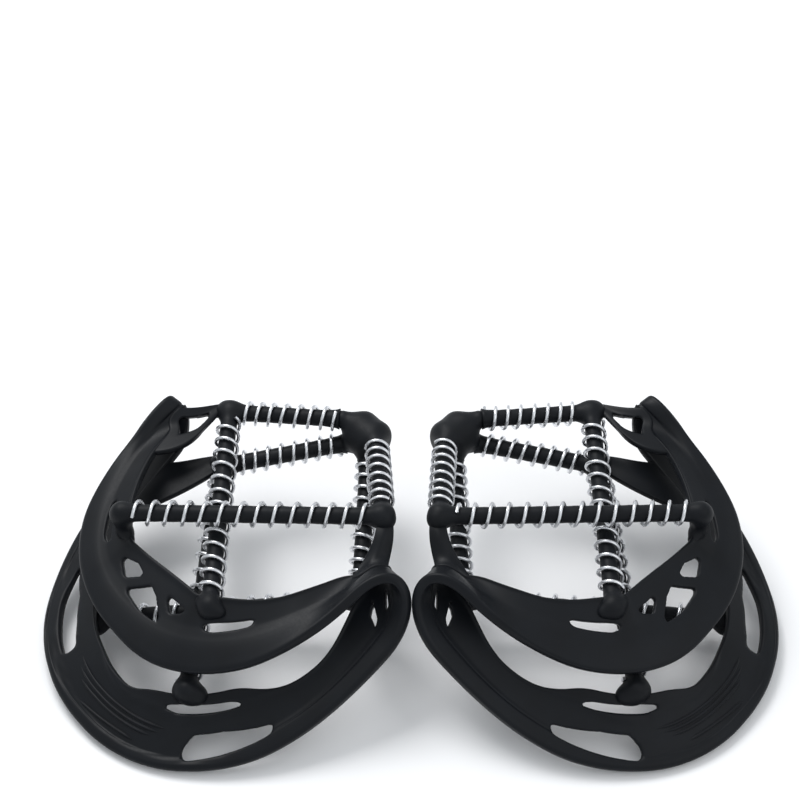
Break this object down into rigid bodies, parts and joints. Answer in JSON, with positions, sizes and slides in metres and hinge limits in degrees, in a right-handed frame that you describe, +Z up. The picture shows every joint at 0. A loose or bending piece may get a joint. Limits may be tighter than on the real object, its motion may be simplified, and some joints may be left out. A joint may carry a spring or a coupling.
{
  "type": "shoe ice cleats",
  "caption": "Pair of pull-on shoe ice cleats: rubber toe and heel halves joined by a hub and a net of cords wound with steel coils, relaxed and folded at the arch.",
  "frame": {"origin": "on the floor under the middle of the pair's bounding box", "axes": "+X across the pair from the left cleat to the right one, +Y from the toe side to the hubs, +Z up"},
  "size_m": [0.2684, 0.1384, 0.0537],
  "materials": {
    "harness_rubber": "satin moulded",
    "cord_rubber": "matt moulded",
    "steel_coil": "bright zinc plated"
  },
  "bodies": {
    "left_heel_half": {"l_heel_rim": "harness_rubber", "l_heel_plate": "harness_rubber", "l_fold_out": "harness_rubber", "l_fold_in": "harness_rubber", "l_hub": "cord_rubber", "l_k_strap_hi": "harness_rubber", "l_k_strap_lo": "harness_rubber", "l_cord_hub_k_hi": "cord_rubber", "l_cord_hub_k_lo": "cord_rubber", "l_cord_heel_hi": "cord_rubber", "l_cord_heel_lo": "cord_rubber"},
    "left_toe_half": {"l_toe_rim": "harness_rubber", "l_toe_lattice": "harness_rubber", "l_j_strap_hi": "harness_rubber", "l_j_strap_lo": "harness_rubber", "l_cord_hub_j_hi": "cord_rubber", "l_cord_hub_j_lo": "cord_rubber", "l_cord_toe_hi": "cord_rubber", "l_cord_toe_lo": "cord_rubber"},
    "left_coil_hub_j_hi": {"l_coil_hub_j_hi": "steel_coil"},
    "left_coil_hub_j_lo": {"l_coil_hub_j_lo": "steel_coil"},
    "left_coil_hub_k_hi": {"l_coil_hub_k_hi": "steel_coil"},
    "left_coil_hub_k_lo": {"l_coil_hub_k_lo": "steel_coil"},
    "left_coil_toe_hi": {"l_coil_toe_hi": "steel_coil"},
    "left_coil_toe_lo": {"l_coil_toe_lo": "steel_coil"},
    "left_coil_heel_hi": {"l_coil_heel_hi": "steel_coil"},
    "left_coil_heel_lo": {"l_coil_heel_lo": "steel_coil"},
    "right_heel_half": {"r_heel_rim": "harness_rubber", "r_heel_plate": "harness_rubber", "r_fold_out": "harness_rubber", "r_fold_in": "harness_rubber", "r_hub": "cord_rubber", "r_k_strap_hi": "harness_rubber", "r_k_strap_lo": "harness_rubber", "r_cord_hub_k_hi": "cord_rubber", "r_cord_hub_k_lo": "cord_rubber", "r_cord_heel_hi": "cord_rubber", "r_cord_heel_lo": "cord_rubber"},
    "right_toe_half": {"r_toe_rim": "harness_rubber", "r_toe_lattice": "harness_rubber", "r_j_strap_hi": "harness_rubber", "r_j_strap_lo": "harness_rubber", "r_cord_hub_j_hi": "cord_rubber", "r_cord_hub_j_lo": "cord_rubber", "r_cord_toe_hi": "cord_rubber", "r_cord_toe_lo": "cord_rubber"},
    "right_coil_hub_j_hi": {"r_coil_hub_j_hi": "steel_coil"},
    "right_coil_hub_j_lo": {"r_coil_hub_j_lo": "steel_coil"},
    "right_coil_hub_k_hi": {"r_coil_hub_k_hi": "steel_coil"},
    "right_coil_hub_k_lo": {"r_coil_hub_k_lo": "steel_coil"},
    "right_coil_toe_hi": {"r_coil_toe_hi": "steel_coil"},
    "right_coil_toe_lo": {"r_coil_toe_lo": "steel_coil"},
    "right_coil_heel_hi": {"r_coil_heel_hi": "steel_coil"},
    "right_coil_heel_lo": {"r_coil_heel_lo": "steel_coil"}
  },
  "joints": [
    {"name": "pair_apart", "type": "slide", "parent": "left_heel_half", "child": "right_heel_half", "axis": [1, 0, 0], "range_m": [0, 0.15]},
    {"name": "left_fold", "type": "hinge", "parent": "left_heel_half", "child": "left_toe_half", "pos_m": [-0.0153, 0.0556, 0.036], "axis": [-0.6845, 0.729, 0], "range_deg": [0, 50], "stiffness_Nm_per_rad": 0.05, "deforming": ["l_fold_out", "l_fold_in"]},
    {"name": "left_spin_hub_j_hi", "type": "hinge", "parent": "left_toe_half", "child": "left_coil_hub_j_hi", "pos_m": [-0.01097, 0.02469, 0.0447], "axis": [0.0549, -0.9776, 0.2033], "continuous": true},
    {"name": "left_spin_hub_j_lo", "type": "hinge", "parent": "left_toe_half", "child": "left_coil_hub_j_lo", "pos_m": [-0.04588, 0.06187, 0.0398], "axis": [-0.9923, 0.1186, -0.0346], "continuous": true},
    {"name": "left_spin_hub_k_hi", "type": "hinge", "parent": "left_heel_half", "child": "left_coil_hub_k_hi", "pos_m": [-0.046, 0.05126, 0.0303], "axis": [-0.9778, -0.2028, -0.0528], "continuous": true},
    {"name": "left_spin_hub_k_lo", "type": "hinge", "parent": "left_heel_half", "child": "left_coil_hub_k_lo", "pos_m": [-0.01677, 0.02013, 0.0247], "axis": [-0.0431, -0.9688, -0.2441], "continuous": true},
    {"name": "left_spin_toe_hi", "type": "hinge", "parent": "left_toe_half", "child": "left_coil_toe_hi", "pos_m": [-0.0547, 0.00626, 0.0479], "axis": [-0.999, 0.0393, -0.0223], "continuous": true},
    {"name": "left_spin_toe_lo", "type": "hinge", "parent": "left_toe_half", "child": "left_coil_toe_lo", "pos_m": [-0.06702, 0.01938, 0.0381], "axis": [-0.0235, -0.9995, -0.0223], "continuous": true},
    {"name": "left_spin_heel_hi", "type": "hinge", "parent": "left_heel_half", "child": "left_coil_heel_hi", "pos_m": [-0.07196, -0.00028, 0.02355], "axis": [-0.0789, -0.99, -0.1171], "continuous": true},
    {"name": "left_spin_heel_lo", "type": "hinge", "parent": "left_heel_half", "child": "left_coil_heel_lo", "pos_m": [-0.06504, -0.00764, 0.01345], "axis": [-0.9954, -0.0166, -0.0941], "continuous": true},
    {"name": "right_fold", "type": "hinge", "parent": "right_heel_half", "child": "right_toe_half", "pos_m": [0.0153, 0.0556, 0.036], "axis": [-0.6845, -0.729, 0], "range_deg": [0, 50], "stiffness_Nm_per_rad": 0.05, "deforming": ["r_fold_out", "r_fold_in"]},
    {"name": "right_spin_hub_j_hi", "type": "hinge", "parent": "right_toe_half", "child": "right_coil_hub_j_hi", "pos_m": [0.01097, 0.02469, 0.0447], "axis": [-0.0549, -0.9776, 0.2033], "continuous": true},
    {"name": "right_spin_hub_j_lo", "type": "hinge", "parent": "right_toe_half", "child": "right_coil_hub_j_lo", "pos_m": [0.04588, 0.06187, 0.0398], "axis": [0.9923, 0.1186, -0.0346], "continuous": true},
    {"name": "right_spin_hub_k_hi", "type": "hinge", "parent": "right_heel_half", "child": "right_coil_hub_k_hi", "pos_m": [0.046, 0.05126, 0.0303], "axis": [0.9778, -0.2028, -0.0528], "continuous": true},
    {"name": "right_spin_hub_k_lo", "type": "hinge", "parent": "right_heel_half", "child": "right_coil_hub_k_lo", "pos_m": [0.01677, 0.02013, 0.0247], "axis": [0.0431, -0.9688, -0.2441], "continuous": true},
    {"name": "right_spin_toe_hi", "type": "hinge", "parent": "right_toe_half", "child": "right_coil_toe_hi", "pos_m": [0.0547, 0.00626, 0.0479], "axis": [0.999, 0.0393, -0.0223], "continuous": true},
    {"name": "right_spin_toe_lo", "type": "hinge", "parent": "right_toe_half", "child": "right_coil_toe_lo", "pos_m": [0.06702, 0.01938, 0.0381], "axis": [0.0235, -0.9995, -0.0223], "continuous": true},
    {"name": "right_spin_heel_hi", "type": "hinge", "parent": "right_heel_half", "child": "right_coil_heel_hi", "pos_m": [0.07196, -0.00028, 0.02355], "axis": [0.0789, -0.99, -0.1171], "continuous": true},
    {"name": "right_spin_heel_lo", "type": "hinge", "parent": "right_heel_half", "child": "right_coil_heel_lo", "pos_m": [0.06504, -0.00764, 0.01345], "axis": [0.9954, -0.0166, -0.0941], "continuous": true}
  ]
}
